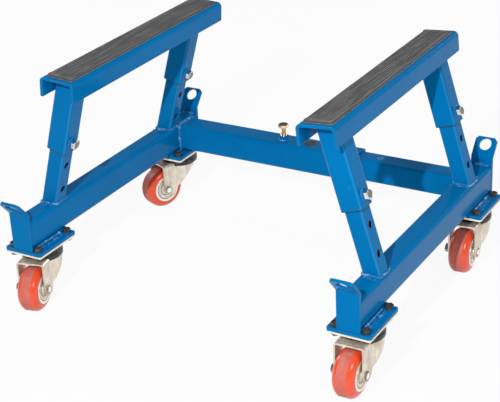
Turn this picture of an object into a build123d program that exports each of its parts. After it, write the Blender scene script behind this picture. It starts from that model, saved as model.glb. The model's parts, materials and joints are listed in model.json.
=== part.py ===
from build123d import *
from math import cos, radians, sin, sqrt, tan
import os

# Shop dolly: two wheeled side frames joined by a telescoping beam, each with a padded cradle
# that slides on two leaning posts. +X is to the right, +Y to the back, and the floor is z = 0.

# Middle of the frame, measured from the middle of the floor outline
FRAME_X = 6.0
FRAME_Y = 8.0

# Side rails and what is welded to their ends
TRACK = 610.0
RAIL_W = 38.0
RAIL_H = 50.0
RAIL_R = 7.0
RAIL_WALL = 3.0
RAIL_LENGTH = 522.0
RISER_T = 4.5
RISER_INSET = 1.0
RISER_LENGTH = 93.0
END_PLATE_W = 39.0
END_PLATE_T = 5.0
END_PLATE_RISE = 12.5
EAR_LENGTH = 36.0
EAR_ANGLE = 40.6
EAR_BEND_R = 3.0
EAR_CORNER = 5.0
EAR_HOLE_D = 22.0
EAR_HOLE_FROM_BEND = 22.7
BASE_PLATE_L = 100.0
BASE_PLATE_T = 5.5
BASE_PLATE_R = 4.0
BASE_PLATE_OVERHANG = 1.5

# Telescoping beam
BEAM_W = 50.0
BEAM_R = 7.0
BEAM_WALL = 4.0
BEAM_GAP = 0.5
BEAM_Y = 222.0
OUTER_LENGTH = 373.0
INNER_LENGTH = 446.0
INNER_R = 5.0
INNER_WALL = 3.0
WIDTH_LOCK_FROM_END = 156.0
PLUG_FROM_END = 99.0
PLUG_D = 23.0
PLUG_STEM_D = 20.0
PLUG_HEAD_T = 1.2

# Leaning posts
LEAN = 16.5
POST_W = 30.0
POST_R = 4.0
POST_WALL = 2.5
POST_LENGTH = 146.0
FRONT_POST_Y = -171.0
REAR_POST_Y = 185.0
PEG_HOLE_D = 12.5
PEG_PITCH = 48.5
PEG_COUNT = 3
PEG_FROM_TOP = 20.0

# Cradles
SLEEVE_GAP = 1.0
SLEEVE_WALL = 3.0
SLEEVE_R = 5.5
SLEEVE_OVERLAP = 39.0
CRADLE_HEIGHT = 409.5
CHANNEL_W = 65.0
CHANNEL_H = 34.0
CHANNEL_T = 4.8
CHANNEL_R = 8.0
CHANNEL_LENGTH = 458.0
CHANNEL_Y = 11.5
CHANNEL_TILT = 4.4
PAD_W = 48.0
PAD_T = 2.4
PAD_MARGIN = 9.0
RIB_COUNT = 9
RIB_W = 3.2
RIB_H = 1.2

# Lock bolts and their weld nuts
LOCK_D = 12.0
LOCK_AF = 17.0
LOCK_HEAD_H = 6.5
LOCK_CROWN_D = 16.0
LOCK_CROWN_SLOPE = 30.0
LOCK_TIP_CHAMFER = 1.2
LOCK_TIP_GAP = 0.3
WIDTH_NUT_T = 7.5
WIDTH_BARE_THREAD = 16.0
CRADLE_NUT_T = 3.0
CRADLE_BARE_THREAD = 0.4

# Caster fasteners, close beside the rail and the end plate
BOLT_D = 8.0
BOLT_AF = 12.0
BOLT_HEAD_H = 5.3
BOLT_HOLE_D = 9.0
BOLT_EDGE_X = 11.3
BOLT_EDGE_Y = 10.0
BOLT_END_RECESS = 1.0
NUT_H = 7.0
NUT_CLEARANCE = 0.2
THREAD_GAP = 0.1

# Swivel casters
WHEEL_D = 78.0
TREAD_W = 18.0
SHOULDER_SAG = 2.4
TYRE_LIP = 1.0
BOND_GAP = 0.05
RIM_D = 51.0
RIM_STEP = 0.6
HUB_W = 38.0
HUB_DISH = 1.2
HUB_DISH_D = 33.0
FACE_GROOVE_D = 41.0
DISH_GROOVE_D = 25.0
GROOVE_W = 1.6
GROOVE_DEPTH = 1.2
BOSS_D = 18.0
BOSS_GAP = 0.3
AXLE_D = 8.0
AXLE_GAP = 0.06
AXLE_AF = 13.0
AXLE_HEAD_H = 3.0
AXLE_NUT_H = 6.0
TRAIL = 45.0
FORK_T = 3.0
FORK_IN_W = 44.0
FORK_FLARE_R = 8.0
CROWN_R = 5.0
CROWN_CLEARANCE = 8.6
DISH_CLEARANCE = 1.6
DISH_GAP = 1.0
LEG_W = 30.0
LEG_FRONT = 8.0
LEG_BELOW_AXLE = 13.0
HEEL_END = 9.0
HEEL_R = 8.0
SKIRT_LIP = 0.4
SEAT_R = 28.0
KINGPIN_D = 12.0
KINGPIN_GAP = 0.08
KINGPIN_HEAD_D = 20.0
KINGPIN_HEAD_H = 4.0
SWIVEL_GAP = 0.3
RACEWAY_D = 71.0
RACEWAY_TOP_D = 67.0
RACEWAY_BORE = 40.0
RACEWAY_H = 18.6
RACEWAY_LIP = 1.5
RACEWAY_OVERHANG = 1.5
SEAM_W = 1.6
SEAM_DEPTH = 1.2
TOP_PLATE_T = 3.5

# How far each caster has swung from trailing straight to the front
CASTER_TURN = {"front_right": 2.0, "front_left": 14.0, "rear_right": 5.5, "rear_left": -23.3}

# Heights, from the floor up
AXLE_Z = WHEEL_D / 2
CROWN_Z = WHEEL_D + CROWN_CLEARANCE
CROWN_TOP = CROWN_Z + FORK_T
DISH_Z = WHEEL_D + DISH_CLEARANCE
DISH_TOP = DISH_Z + FORK_T
RACEWAY_Z = DISH_TOP + SWIVEL_GAP
TOP_PLATE_Z = RACEWAY_Z + RACEWAY_H
BASE_PLATE_Z = TOP_PLATE_Z + TOP_PLATE_T
RISER_Z = BASE_PLATE_Z + BASE_PLATE_T
RAIL_Z = RISER_Z + RISER_T
RAIL_TOP = RAIL_Z + RAIL_H
CRADLE_REACH = (CRADLE_HEIGHT - RAIL_TOP) / cos(radians(LEAN))

# Places in plan
BOLT_PITCH_X = max(RAIL_W, END_PLATE_W) + BOLT_AF + 2 * NUT_CLEARANCE
BOLT_PITCH_Y = BASE_PLATE_L - 2 * BOLT_EDGE_Y
BASE_PLATE_W = BOLT_PITCH_X + 2 * BOLT_EDGE_X
FORK_R = RACEWAY_D / 2 - RACEWAY_OVERHANG
DISH_R = RACEWAY_D / 2 + DISH_GAP
RIGHT_X = FRAME_X + TRACK / 2
LEFT_X = FRAME_X - TRACK / 2
RAIL_END = RAIL_LENGTH / 2
CASTER_Y = RAIL_END + END_PLATE_T + BASE_PLATE_OVERHANG - BASE_PLATE_L / 2
FRONT_Y = FRAME_Y - CASTER_Y
REAR_Y = FRAME_Y + CASTER_Y
MIDDLE = Plane.YZ.offset(FRAME_X)


def save(piece, name):
    piece.label = name
    export_step(piece, f"parts/{name}.step")


os.makedirs("parts", exist_ok=True)

# Side rail, built on the right
with BuildPart() as rail:
    with BuildSketch(Plane.XZ.offset(RAIL_END - FRAME_Y)):
        with Locations((RIGHT_X, RAIL_Z + RAIL_H / 2)):
            RectangleRounded(RAIL_W, RAIL_H, RAIL_R)
            bore_r = RAIL_R - RAIL_WALL
            RectangleRounded(RAIL_W - 2 * RAIL_WALL, RAIL_H - 2 * RAIL_WALL, bore_r, mode=Mode.SUBTRACT)
    extrude(amount=-RAIL_LENGTH)
save(rail.part, "right_rail")
save(rail.part.moved(Pos(-TRACK, 0, 0)), "left_rail")

# Riser bars that carry the rail's two ends above the base plates
with BuildPart() as risers:
    with BuildSketch(Plane.XY.offset(RISER_Z)):
        for end in (-1, 1):
            with Locations((RIGHT_X, FRAME_Y + end * (RAIL_END - RISER_LENGTH / 2))):
                Rectangle(RAIL_W - 2 * RISER_INSET, RISER_LENGTH)
    extrude(amount=RISER_T)
save(risers.part, "right_risers")
save(risers.part.moved(Pos(-TRACK, 0, 0)), "left_risers")

# End plate, bent outward at the top into an ear with a round hole, built at the front right
BEND_Z = RAIL_TOP + END_PLATE_RISE
BEND_LIFT = END_PLATE_T * tan(radians(EAR_ANGLE / 2))
EAR_ALONG = Vector(0, -sin(radians(EAR_ANGLE)), cos(radians(EAR_ANGLE)))
EAR_OUT = Vector(0, -cos(radians(EAR_ANGLE)), -sin(radians(EAR_ANGLE)))
PLATE_FRONT = FRAME_Y - RAIL_END - END_PLATE_T
EAR_ROOT = Vector(RIGHT_X, PLATE_FRONT, BEND_Z)
EAR_TIP = EAR_ROOT + EAR_ALONG * EAR_LENGTH
EAR_TIP_BACK = EAR_TIP - EAR_OUT * END_PLATE_T
with BuildPart() as end_plate:
    with BuildSketch(Plane.YZ.offset(RIGHT_X)):
        with BuildLine():
            FilletPolyline(
                (PLATE_FRONT, RISER_Z),
                (PLATE_FRONT, BEND_Z),
                (EAR_TIP.Y, EAR_TIP.Z),
                radius=EAR_BEND_R,
            )
            Line((EAR_TIP.Y, EAR_TIP.Z), (EAR_TIP_BACK.Y, EAR_TIP_BACK.Z))
            FilletPolyline(
                (EAR_TIP_BACK.Y, EAR_TIP_BACK.Z),
                (PLATE_FRONT + END_PLATE_T, BEND_Z + BEND_LIFT),
                (PLATE_FRONT + END_PLATE_T, RISER_Z),
                radius=EAR_BEND_R + END_PLATE_T,
            )
            Line((PLATE_FRONT + END_PLATE_T, RISER_Z), (PLATE_FRONT, RISER_Z))
        make_face()
    extrude(amount=END_PLATE_W / 2, both=True)
    ear_end = end_plate.faces().sort_by(Axis.Z)[-1]
    chamfer(ear_end.edges().sort_by(SortBy.LENGTH)[:2], EAR_CORNER)
    with BuildSketch(Plane(EAR_ROOT + EAR_ALONG * EAR_HOLE_FROM_BEND, x_dir=(1, 0, 0), z_dir=EAR_OUT)):
        Circle(EAR_HOLE_D / 2)
    extrude(amount=-END_PLATE_T, mode=Mode.SUBTRACT)
rear_end_plate = end_plate.part.rotate(Axis((FRAME_X, FRAME_Y, 0), (0, 0, 1)), 180)
save(end_plate.part, "right_front_end_plate")
save(end_plate.part.moved(Pos(-TRACK, 0, 0)), "left_front_end_plate")
save(rear_end_plate, "left_rear_end_plate")
save(rear_end_plate.moved(Pos(TRACK, 0, 0)), "right_rear_end_plate")

# Base plates over the two casters of a side
with BuildPart() as base_plates:
    with BuildSketch(Plane.XY.offset(BASE_PLATE_Z)):
        with Locations((RIGHT_X, FRONT_Y), (RIGHT_X, REAR_Y)):
            RectangleRounded(BASE_PLATE_W, BASE_PLATE_L, BASE_PLATE_R)
            with GridLocations(BOLT_PITCH_X, BOLT_PITCH_Y, 2, 2):
                Circle(BOLT_HOLE_D / 2, mode=Mode.SUBTRACT)
    extrude(amount=BASE_PLATE_T)
save(base_plates.part, "right_base_plates")
save(base_plates.part.moved(Pos(-TRACK, 0, 0)), "left_base_plates")

# Caster bolts, heads down, with nuts on the base plates
with BuildPart() as fasteners:
    with BuildSketch(Plane.XY.offset(TOP_PLATE_Z - BOLT_HEAD_H)):
        with Locations((RIGHT_X, FRONT_Y), (RIGHT_X, REAR_Y)):
            with GridLocations(BOLT_PITCH_X, BOLT_PITCH_Y, 2, 2):
                RegularPolygon(BOLT_AF / 2, 6, major_radius=False, rotation=30)
    extrude(amount=BOLT_HEAD_H)
    with BuildSketch(Plane.XY.offset(TOP_PLATE_Z)):
        with Locations((RIGHT_X, FRONT_Y), (RIGHT_X, REAR_Y)):
            with GridLocations(BOLT_PITCH_X, BOLT_PITCH_Y, 2, 2):
                Circle(BOLT_D / 2)
    extrude(amount=TOP_PLATE_T + BASE_PLATE_T + NUT_H - BOLT_END_RECESS)
    with BuildSketch(Plane.XY.offset(RISER_Z)):
        with Locations((RIGHT_X, FRONT_Y), (RIGHT_X, REAR_Y)):
            with GridLocations(BOLT_PITCH_X, BOLT_PITCH_Y, 2, 2):
                RegularPolygon(BOLT_AF / 2, 6, major_radius=False, rotation=30)
                Circle(BOLT_D / 2 + THREAD_GAP, mode=Mode.SUBTRACT)
    extrude(amount=NUT_H)
save(fasteners.part, "right_caster_fasteners")
save(fasteners.part.moved(Pos(-TRACK, 0, 0)), "left_caster_fasteners")

# Outer cross tube, from the left rail, with holes for the lock bolt and the plug
OUTER_START = LEFT_X + RAIL_W / 2
OUTER_END = OUTER_START + OUTER_LENGTH
WIDTH_LOCK_X = OUTER_END - WIDTH_LOCK_FROM_END
PLUG_X = OUTER_END - PLUG_FROM_END
BEAM_LINE = FRAME_Y + BEAM_Y
BEAM_Z = RAIL_TOP - BEAM_W / 2
BORE_W = BEAM_W - 2 * BEAM_WALL
with BuildPart() as outer_tube:
    with BuildSketch(Plane.YZ.offset(OUTER_START)):
        with Locations((BEAM_LINE, BEAM_Z)):
            RectangleRounded(BEAM_W, BEAM_W, BEAM_R)
            RectangleRounded(BORE_W, BORE_W, BEAM_R - BEAM_WALL, mode=Mode.SUBTRACT)
    extrude(amount=OUTER_LENGTH)
    with BuildSketch(Plane.XY.offset(RAIL_TOP)):
        with Locations((WIDTH_LOCK_X, BEAM_LINE)):
            Circle(LOCK_D / 2 + THREAD_GAP)
        with Locations((PLUG_X, BEAM_LINE)):
            Circle(PLUG_STEM_D / 2 + BOND_GAP)
    extrude(amount=-BEAM_WALL, mode=Mode.SUBTRACT)
save(outer_tube.part, "outer_cross_tube")

# Inner cross tube, from the right rail into the outer one
INNER_W = BORE_W - 2 * BEAM_GAP
INNER_END = RIGHT_X - RAIL_W / 2
with BuildPart() as inner_tube:
    with BuildSketch(Plane.YZ.offset(INNER_END)):
        with Locations((BEAM_LINE, BEAM_Z)):
            RectangleRounded(INNER_W, INNER_W, INNER_R)
            inner_bore = INNER_W - 2 * INNER_WALL
            RectangleRounded(inner_bore, inner_bore, INNER_R - INNER_WALL, mode=Mode.SUBTRACT)
    extrude(amount=-INNER_LENGTH)
save(inner_tube.part, "inner_cross_tube")

# Round plug, its stem as deep as the tube's wall
with BuildPart() as plug:
    with BuildSketch(Plane.XY.offset(RAIL_TOP)):
        with Locations((PLUG_X, BEAM_LINE)):
            Circle(PLUG_D / 2)
    extrude(amount=PLUG_HEAD_T)
    chamfer(plug.edges().group_by(Axis.Z)[-1], PLUG_HEAD_T / 2)
    with BuildSketch(Plane.XY.offset(RAIL_TOP)):
        with Locations((PLUG_X, BEAM_LINE)):
            Circle(PLUG_STEM_D / 2)
    extrude(amount=-BEAM_WALL)
save(plug.part, "beam_plug")

# Weld nut of the width lock
with BuildPart() as width_nut:
    with BuildSketch(Plane.XY.offset(RAIL_TOP)):
        with Locations((WIDTH_LOCK_X, BEAM_LINE)):
            RegularPolygon(LOCK_AF / 2, 6, major_radius=False)
            Circle(LOCK_D / 2 + THREAD_GAP, mode=Mode.SUBTRACT)
    extrude(amount=WIDTH_NUT_T)
save(width_nut.part, "width_lock_nut")


def lock_bolt(shank):
    """Hex bolt with its head's seat at the origin and its shank along -Z."""
    corner = LOCK_AF / sqrt(3)
    crown = LOCK_CROWN_D / 2
    crown_drop = (corner - crown) * tan(radians(LOCK_CROWN_SLOPE))
    with BuildPart() as bolt:
        with BuildSketch():
            RegularPolygon(LOCK_AF / 2, 6, major_radius=False)
        extrude(amount=LOCK_HEAD_H)
        with BuildSketch(Plane.XZ):
            with BuildLine():
                Polyline(
                    (0, 0),
                    (corner, 0),
                    (corner, LOCK_HEAD_H - crown_drop),
                    (crown, LOCK_HEAD_H),
                    (0, LOCK_HEAD_H),
                    close=True,
                )
            make_face()
        revolve(axis=Axis.Z, mode=Mode.INTERSECT)
        with BuildSketch():
            Circle(LOCK_D / 2)
        extrude(amount=-shank)
        chamfer(bolt.edges().group_by(Axis.Z)[0], LOCK_TIP_CHAMFER)
    return bolt.part


width_seat = RAIL_TOP + WIDTH_NUT_T + WIDTH_BARE_THREAD
width_shank = WIDTH_NUT_T + WIDTH_BARE_THREAD + BEAM_WALL + BEAM_GAP - LOCK_TIP_GAP
width_bolt = lock_bolt(width_shank)
save(width_bolt.moved(Pos(WIDTH_LOCK_X, BEAM_LINE, width_seat)), "width_lock_bolt")

# Leaning post, built at the front right, its foot cut level on the rail
UP_POST = Vector(-sin(radians(LEAN)), 0, cos(radians(LEAN)))
OUT_POST = Vector(cos(radians(LEAN)), 0, sin(radians(LEAN)))
POST_FOOT = Vector(RIGHT_X, FRAME_Y + FRONT_POST_Y, RAIL_TOP)
POST_SPAN = REAR_POST_Y - FRONT_POST_Y
LOCK_S = POST_LENGTH - PEG_FROM_TOP
POST_PLANE = Plane(POST_FOOT, x_dir=OUT_POST, z_dir=UP_POST)
POST_SIDE = Plane(POST_FOOT, x_dir=(0, 1, 0), z_dir=OUT_POST)
with BuildPart() as post:
    with BuildSketch(POST_PLANE.offset(-POST_W)):
        RectangleRounded(POST_W, POST_W, POST_R)
        post_bore = POST_W - 2 * POST_WALL
        RectangleRounded(post_bore, post_bore, POST_R - POST_WALL, mode=Mode.SUBTRACT)
    extrude(amount=POST_LENGTH + POST_W)
    split(bisect_by=Plane.XY.offset(RAIL_TOP), keep=Keep.TOP)
    with BuildSketch(POST_SIDE):
        for step in range(PEG_COUNT):
            with Locations((0, LOCK_S - step * PEG_PITCH)):
                Circle(PEG_HOLE_D / 2)
    extrude(amount=POST_W, both=True, mode=Mode.SUBTRACT)
save(post.part, "right_front_post")
save(post.part.moved(Pos(0, POST_SPAN, 0)), "right_rear_post")
left_post = mirror(post.part, about=MIDDLE)
save(left_post, "left_front_post")
save(left_post.moved(Pos(0, POST_SPAN, 0)), "left_rear_post")

# Cradle channel: an inverted U whose web slopes up to the outside
WEB_MIDDLE = POST_FOOT + UP_POST * CRADLE_REACH
ACROSS_WEB = Vector(cos(radians(CHANNEL_TILT)), 0, sin(radians(CHANNEL_TILT)))
WEB_UP = Vector(-sin(radians(CHANNEL_TILT)), 0, cos(radians(CHANNEL_TILT)))
CHANNEL_BACK = FRAME_Y + CHANNEL_Y + CHANNEL_LENGTH / 2
CHANNEL_PLANE = Plane(
    (WEB_MIDDLE.X, CHANNEL_BACK, WEB_MIDDLE.Z), x_dir=ACROSS_WEB, z_dir=(0, -1, 0)
)
with BuildPart() as channel:
    with BuildSketch(CHANNEL_PLANE):
        with BuildLine():
            FilletPolyline(
                (-CHANNEL_W / 2, -CHANNEL_H),
                (-CHANNEL_W / 2, 0),
                (CHANNEL_W / 2, 0),
                (CHANNEL_W / 2, -CHANNEL_H),
                radius=CHANNEL_R,
            )
            Line((CHANNEL_W / 2, -CHANNEL_H), (CHANNEL_W / 2 - CHANNEL_T, -CHANNEL_H))
            FilletPolyline(
                (CHANNEL_W / 2 - CHANNEL_T, -CHANNEL_H),
                (CHANNEL_W / 2 - CHANNEL_T, -CHANNEL_T),
                (CHANNEL_T - CHANNEL_W / 2, -CHANNEL_T),
                (CHANNEL_T - CHANNEL_W / 2, -CHANNEL_H),
                radius=CHANNEL_R - CHANNEL_T,
            )
            Line((CHANNEL_T - CHANNEL_W / 2, -CHANNEL_H), (-CHANNEL_W / 2, -CHANNEL_H))
        make_face()
    extrude(amount=CHANNEL_LENGTH)
save(channel.part, "right_channel")
save(mirror(channel.part, about=MIDDLE), "left_channel")

# Rubber pad with ribs along its length
RIB_PITCH = (PAD_W - RIB_W) / (RIB_COUNT - 1)
with BuildPart() as pad:
    with BuildSketch(CHANNEL_PLANE.offset(PAD_MARGIN)):
        Rectangle(PAD_W, PAD_T, align=(Align.CENTER, Align.MIN))
        with Locations((0, PAD_T + RIB_H / 2)):
            with GridLocations(RIB_PITCH, RIB_H, RIB_COUNT, 1):
                Rectangle(RIB_W, RIB_H)
    extrude(amount=CHANNEL_LENGTH - 2 * PAD_MARGIN)
save(pad.part, "right_pad")
save(mirror(pad.part, about=MIDDLE), "left_pad")

# Sleeves, trimmed to the underside of the web; the lock bolt enters on the +X face of every one
SLEEVE_BORE = POST_W + 2 * SLEEVE_GAP
SLEEVE_W = SLEEVE_BORE + 2 * SLEEVE_WALL
SLEEVE_S = POST_LENGTH - SLEEVE_OVERLAP
WEB_UNDERSIDE = Plane(WEB_MIDDLE - WEB_UP * CHANNEL_T, x_dir=ACROSS_WEB, z_dir=WEB_UP)


def cradle_sleeve(lock_side):
    """Front sleeve of the right cradle; lock_side is 1 for a bolt in the outer face, -1 for the inner."""
    with BuildPart() as sleeve:
        with BuildSketch(POST_PLANE.offset(SLEEVE_S)):
            RectangleRounded(SLEEVE_W, SLEEVE_W, SLEEVE_R)
            RectangleRounded(SLEEVE_BORE, SLEEVE_BORE, SLEEVE_R - SLEEVE_WALL, mode=Mode.SUBTRACT)
        extrude(amount=CRADLE_REACH - SLEEVE_S + SLEEVE_W)
        split(bisect_by=WEB_UNDERSIDE, keep=Keep.BOTTOM)
        with BuildSketch(POST_SIDE):
            with Locations((0, LOCK_S)):
                Circle(LOCK_D / 2 + THREAD_GAP)
        extrude(amount=lock_side * SLEEVE_W, mode=Mode.SUBTRACT)
    return sleeve.part


def cradle_nuts(lock_side):
    """Weld nuts on the two sleeves of the right cradle."""
    with BuildPart() as nuts:
        with BuildSketch(POST_SIDE.offset(lock_side * SLEEVE_W / 2)):
            with Locations((0, LOCK_S), (POST_SPAN, LOCK_S)):
                RegularPolygon(LOCK_AF / 2, 6, major_radius=False)
                Circle(LOCK_D / 2 + THREAD_GAP, mode=Mode.SUBTRACT)
        extrude(amount=lock_side * CRADLE_NUT_T)
    return nuts.part


right_sleeve = cradle_sleeve(1)
save(right_sleeve, "right_front_sleeve")
save(right_sleeve.moved(Pos(0, POST_SPAN, 0)), "right_rear_sleeve")
left_sleeve = mirror(cradle_sleeve(-1), about=MIDDLE)
save(left_sleeve, "left_front_sleeve")
save(left_sleeve.moved(Pos(0, POST_SPAN, 0)), "left_rear_sleeve")
save(cradle_nuts(1), "right_lock_nuts")
save(mirror(cradle_nuts(-1), about=MIDDLE), "left_lock_nuts")

# Height lock bolts, their tips just clear of the posts
CRADLE_SEAT = SLEEVE_W / 2 + CRADLE_NUT_T + CRADLE_BARE_THREAD
cradle_bolt = lock_bolt(CRADLE_SEAT - POST_W / 2 - LOCK_TIP_GAP)
outer_seat = POST_FOOT + UP_POST * LOCK_S + OUT_POST * CRADLE_SEAT
inner_seat = POST_FOOT + UP_POST * LOCK_S - OUT_POST * CRADLE_SEAT
right_bolt = cradle_bolt.moved(Plane(outer_seat, x_dir=(0, 1, 0), z_dir=OUT_POST).location)
left_bolt = mirror(
    cradle_bolt.moved(Plane(inner_seat, x_dir=(0, 1, 0), z_dir=-OUT_POST).location), about=MIDDLE
)
save(right_bolt, "right_front_lock_bolt")
save(right_bolt.moved(Pos(0, POST_SPAN, 0)), "right_rear_lock_bolt")
save(left_bolt, "left_front_lock_bolt")
save(left_bolt.moved(Pos(0, POST_SPAN, 0)), "left_rear_lock_bolt")

# Caster top plate with its riveted kingpin; the casters are built with the kingpin on the Z axis
with BuildPart() as top_plate:
    with BuildSketch(Plane.XY.offset(TOP_PLATE_Z)):
        RectangleRounded(BASE_PLATE_W, BASE_PLATE_L, BASE_PLATE_R)
        with GridLocations(BOLT_PITCH_X, BOLT_PITCH_Y, 2, 2):
            Circle(BOLT_HOLE_D / 2, mode=Mode.SUBTRACT)
    extrude(amount=TOP_PLATE_T)
    with BuildSketch(Plane.XY.offset(TOP_PLATE_Z)):
        Circle(KINGPIN_D / 2)
    extrude(amount=DISH_Z - SWIVEL_GAP - TOP_PLATE_Z)
    with BuildSketch(Plane.XY.offset(DISH_Z - SWIVEL_GAP)):
        Circle(KINGPIN_HEAD_D / 2)
    extrude(amount=-KINGPIN_HEAD_H)
    fillet(top_plate.edges().group_by(Axis.Z)[0], KINGPIN_HEAD_H / 2)

# Raceway ring between the top plate and the fork, in two halves with a seam between them
with BuildPart() as raceway:
    with BuildSketch(Plane.XZ):
        with BuildLine():
            Polyline(
                (RACEWAY_BORE / 2, RACEWAY_Z),
                (RACEWAY_D / 2 - RACEWAY_LIP, RACEWAY_Z),
                (RACEWAY_D / 2, RACEWAY_Z + RACEWAY_LIP),
                (RACEWAY_D / 2, RACEWAY_Z + RACEWAY_H / 2),
                (RACEWAY_TOP_D / 2, RACEWAY_Z + RACEWAY_H),
                (RACEWAY_BORE / 2, RACEWAY_Z + RACEWAY_H),
                close=True,
            )
        make_face()
        with Locations((RACEWAY_D / 2, RACEWAY_Z + RACEWAY_H / 2)):
            Rectangle(2 * SEAM_DEPTH, SEAM_W, mode=Mode.SUBTRACT)
    revolve(axis=Axis.Z)

# Pressed fork: a dished round seat about the kingpin, and two straight legs under a raised front strip
LEG_OUT = FORK_IN_W / 2 + FORK_T
FRONT_EDGE = TRAIL + LEG_FRONT
LEG_Z = AXLE_Z - LEG_BELOW_AXLE
TIP_Y = LEG_W / 2 - FRONT_EDGE
LEG_BACK = LEG_W - FRONT_EDGE
SKIRT_Z = DISH_Z - SKIRT_LIP
with BuildPart() as fork:
    with BuildSketch(Plane.XY.offset(CROWN_TOP)) as plan:
        Circle(FORK_R)
        with Locations((0, -FRONT_EDGE)):
            Rectangle(2 * LEG_OUT, FRONT_EDGE, align=(Align.CENTER, Align.MIN))
        fillet(plan.vertices().group_by(Axis.Y)[1], FORK_FLARE_R)
    extrude(amount=LEG_Z - CROWN_TOP)
    crown_edges = fork.edges().group_by(Axis.Z)[-1]
    front = crown_edges.sort_by(Axis.Y)[0]
    fillet([edge for edge in crown_edges if edge != front], CROWN_R)
    with BuildSketch(Plane.XY.offset(CROWN_TOP)):
        Circle(DISH_R)
    extrude(amount=DISH_TOP - CROWN_TOP, mode=Mode.SUBTRACT)
    with BuildSketch(Plane.XY.offset(DISH_Z)) as hollow:
        Circle(FORK_R - FORK_T)
        with Locations((0, -FRONT_EDGE)):
            Rectangle(FORK_IN_W, FRONT_EDGE, align=(Align.CENTER, Align.MIN))
        fillet(hollow.vertices().group_by(Axis.Y)[1], FORK_FLARE_R + FORK_T)
    extrude(amount=LEG_Z - DISH_Z, mode=Mode.SUBTRACT)
    with BuildSketch(Plane.XY.offset(CROWN_Z)):
        with Locations((0, -FRONT_EDGE)):
            Rectangle(FORK_IN_W, FRONT_EDGE, align=(Align.CENTER, Align.MIN))
        Circle(DISH_R + FORK_T, mode=Mode.SUBTRACT)
    extrude(amount=DISH_Z - CROWN_Z, mode=Mode.SUBTRACT)
    fillet(fork.edges().filter_by(Axis.Y).filter_by_position(Axis.Z, CROWN_Z, CROWN_Z), CROWN_R - FORK_T)
    with BuildSketch(Plane.YZ) as side:
        with BuildLine():
            Line((-FRONT_EDGE, CROWN_TOP), (-FRONT_EDGE, LEG_Z + LEG_W / 2))
            ThreePointArc(
                (-FRONT_EDGE, LEG_Z + LEG_W / 2), (TIP_Y, LEG_Z), (LEG_BACK, LEG_Z + LEG_W / 2)
            )
            FilletPolyline(
                (LEG_BACK, LEG_Z + LEG_W / 2),
                (HEEL_END, SKIRT_Z),
                (FORK_R, SKIRT_Z),
                radius=HEEL_R,
            )
            Polyline((FORK_R, SKIRT_Z), (FORK_R, CROWN_TOP), (-FRONT_EDGE, CROWN_TOP))
        make_face()
    extrude(amount=FORK_R, both=True, mode=Mode.INTERSECT)
    with BuildSketch(Plane.XY.offset(DISH_TOP)):
        with Locations((0, HEEL_END)):
            Rectangle(2 * FORK_R, FORK_R, align=(Align.CENTER, Align.MIN))
        Circle(SEAT_R, mode=Mode.SUBTRACT)
        Circle(KINGPIN_D / 2 + KINGPIN_GAP)
    extrude(amount=SKIRT_Z - DISH_TOP, mode=Mode.SUBTRACT)
    with BuildSketch(Plane.YZ):
        with Locations((-TRAIL, AXLE_Z)):
            Circle(AXLE_D / 2 + AXLE_GAP)
    extrude(amount=LEG_OUT, both=True, mode=Mode.SUBTRACT)

# Axle bolt through both legs, its head on the right and its nut on the left
with BuildPart() as axle:
    with BuildSketch(Plane.YZ.offset(LEG_OUT)):
        with Locations((-TRAIL, AXLE_Z)):
            RegularPolygon(AXLE_AF / 2, 6, major_radius=False)
    extrude(amount=AXLE_HEAD_H)
    with BuildSketch(Plane.YZ.offset(LEG_OUT)):
        with Locations((-TRAIL, AXLE_Z)):
            Circle(AXLE_D / 2)
    extrude(amount=-2 * LEG_OUT - AXLE_NUT_H)
    with BuildSketch(Plane.YZ.offset(-LEG_OUT)):
        with Locations((-TRAIL, AXLE_Z)):
            RegularPolygon(AXLE_AF / 2, 6, major_radius=False)
            Circle(AXLE_D / 2 + THREAD_GAP, mode=Mode.SUBTRACT)
    extrude(amount=-AXLE_NUT_H)

# Wheel: a hub with a grooved and dished face, and a moulded tyre with sloping shoulders
WHEEL_PLANE = Plane((0, -TRAIL, AXLE_Z), x_dir=(1, 0, 0), z_dir=(0, -1, 0))
AXLE = Axis((0, -TRAIL, AXLE_Z), (1, 0, 0))
TYRE_SIDE = HUB_W / 2 - RIM_STEP
with BuildPart() as hub:
    with BuildSketch(WHEEL_PLANE):
        with BuildLine():
            Polyline(
                (0, AXLE_D / 2 + AXLE_GAP),
                (FORK_IN_W / 2 - BOSS_GAP, AXLE_D / 2 + AXLE_GAP),
                (FORK_IN_W / 2 - BOSS_GAP, BOSS_D / 2),
                (HUB_W / 2 - HUB_DISH, BOSS_D / 2),
                (HUB_W / 2 - HUB_DISH, HUB_DISH_D / 2),
                (HUB_W / 2, HUB_DISH_D / 2 + HUB_DISH),
                (HUB_W / 2, RIM_D / 2),
                (0, RIM_D / 2),
                close=True,
            )
        make_face()
        with Locations((HUB_W / 2, FACE_GROOVE_D / 2), (HUB_W / 2 - HUB_DISH, DISH_GROOVE_D / 2)):
            Rectangle(2 * GROOVE_DEPTH, GROOVE_W, mode=Mode.SUBTRACT)
        mirror(about=Plane((0, -TRAIL, AXLE_Z), x_dir=(0, 1, 0), z_dir=(1, 0, 0)))
    revolve(axis=AXLE)

with BuildPart() as tyre:
    with BuildSketch(WHEEL_PLANE):
        with BuildLine():
            Line((0, WHEEL_D / 2), (TREAD_W / 2, WHEEL_D / 2))
            SagittaArc((TREAD_W / 2, WHEEL_D / 2), (TYRE_SIDE, RIM_D / 2 + TYRE_LIP), SHOULDER_SAG)
            Polyline(
                (TYRE_SIDE, RIM_D / 2 + TYRE_LIP),
                (TYRE_SIDE, RIM_D / 2 + BOND_GAP),
                (0, RIM_D / 2 + BOND_GAP),
                (0, WHEEL_D / 2),
            )
        make_face()
        mirror(about=Plane((0, -TRAIL, AXLE_Z), x_dir=(0, 1, 0), z_dir=(1, 0, 0)))
    revolve(axis=AXLE)

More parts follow.
